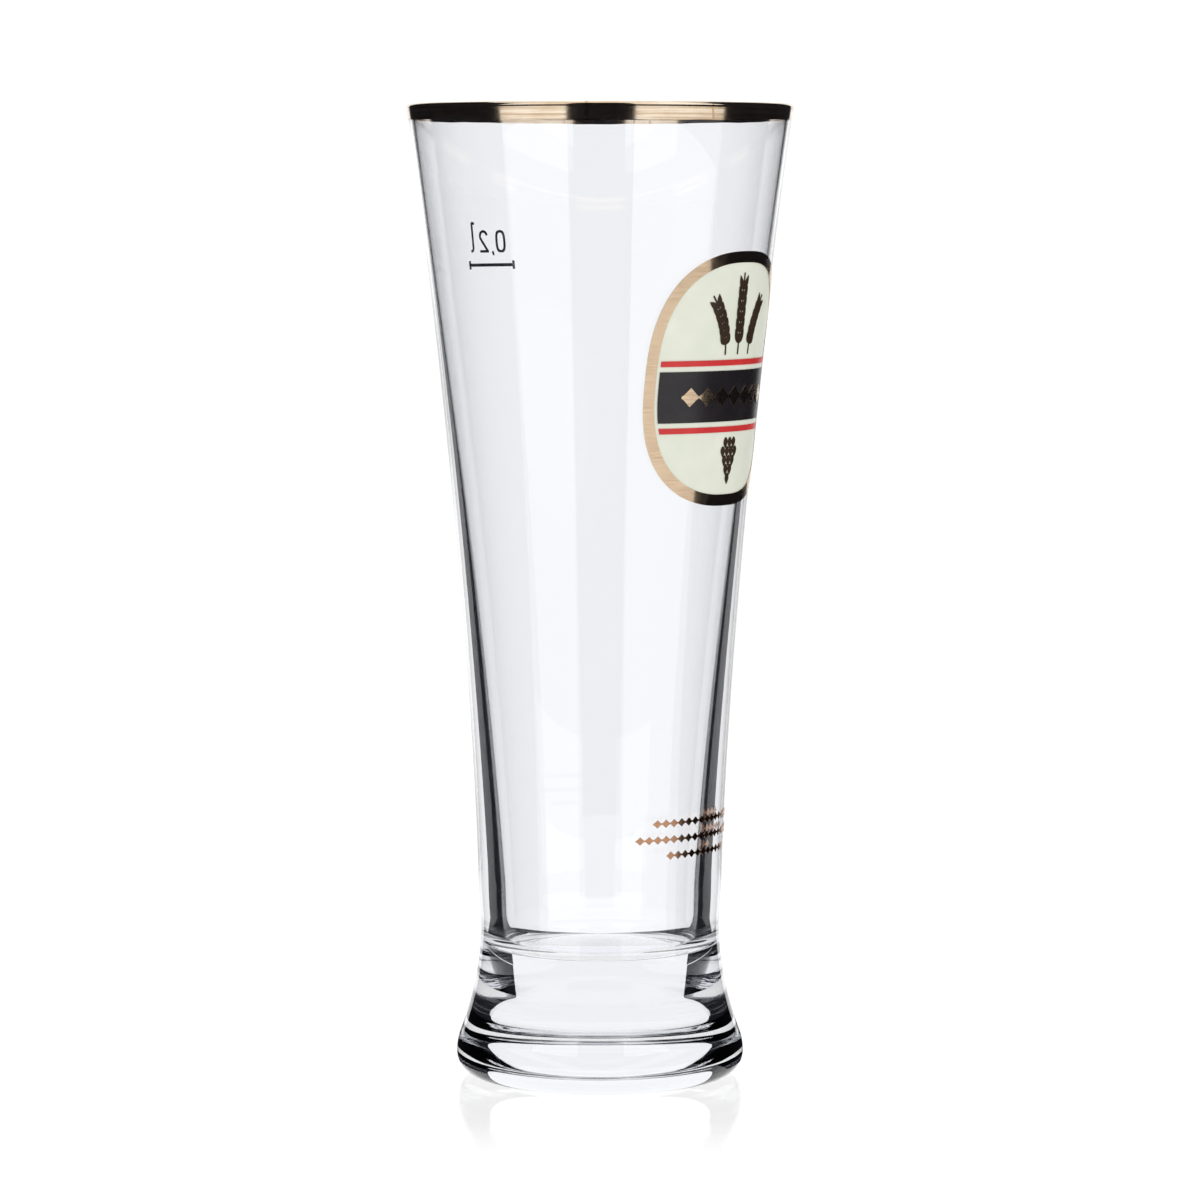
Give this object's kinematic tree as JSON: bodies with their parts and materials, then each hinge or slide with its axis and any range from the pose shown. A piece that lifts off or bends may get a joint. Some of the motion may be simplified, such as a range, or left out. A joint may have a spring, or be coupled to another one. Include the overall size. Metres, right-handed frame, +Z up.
{
  "type": "tulip beer glass",
  "caption": "Slim flared drinking glass with a heavy solid foot, a gilt lip band, a fired enamel badge and a printed fill line; it holds a small beer.",
  "frame": {"origin": "on the table under the glass's axis, at the middle of the foot's bearing ring", "axes": "+Z up along the axis of the bowl, -Y out of the middle of the printed badge (the front), +X to the right as the badge is read"},
  "size_m": [0.0694, 0.0694, 0.1755],
  "materials": {
    "glass": "clear, fire polished",
    "gilt": "burnished gold film with fine streaks round the lip",
    "badge_gold": "screen printed gold with a fine mesh",
    "cream_enamel": "satin fired enamel",
    "dark_enamel": "gloss fired enamel",
    "red_enamel": "gloss fired enamel",
    "brown_enamel": "satin fired enamel",
    "mark_enamel": "matt fired enamel",
    "row_gold": "thin dark gold print"
  },
  "bodies": {
    "root": {"glass_body": "glass", "gilt_rim_band": "gilt", "badge_border": "badge_gold", "badge_field": "cream_enamel", "badge_band": "dark_enamel", "badge_upper_rule": "red_enamel", "badge_lower_rule": "red_enamel", "badge_band_chain": "badge_gold", "badge_left_ear": "brown_enamel", "badge_middle_ear": "brown_enamel", "badge_right_ear": "brown_enamel", "badge_hop_cone": "brown_enamel", "fill_line": "mark_enamel", "fill_zero": "mark_enamel", "fill_comma": "mark_enamel", "fill_two": "mark_enamel", "fill_litre": "mark_enamel", "print_row_upper": "row_gold", "print_row_middle": "row_gold", "print_row_lower": "row_gold"}
  },
  "joints": []
}
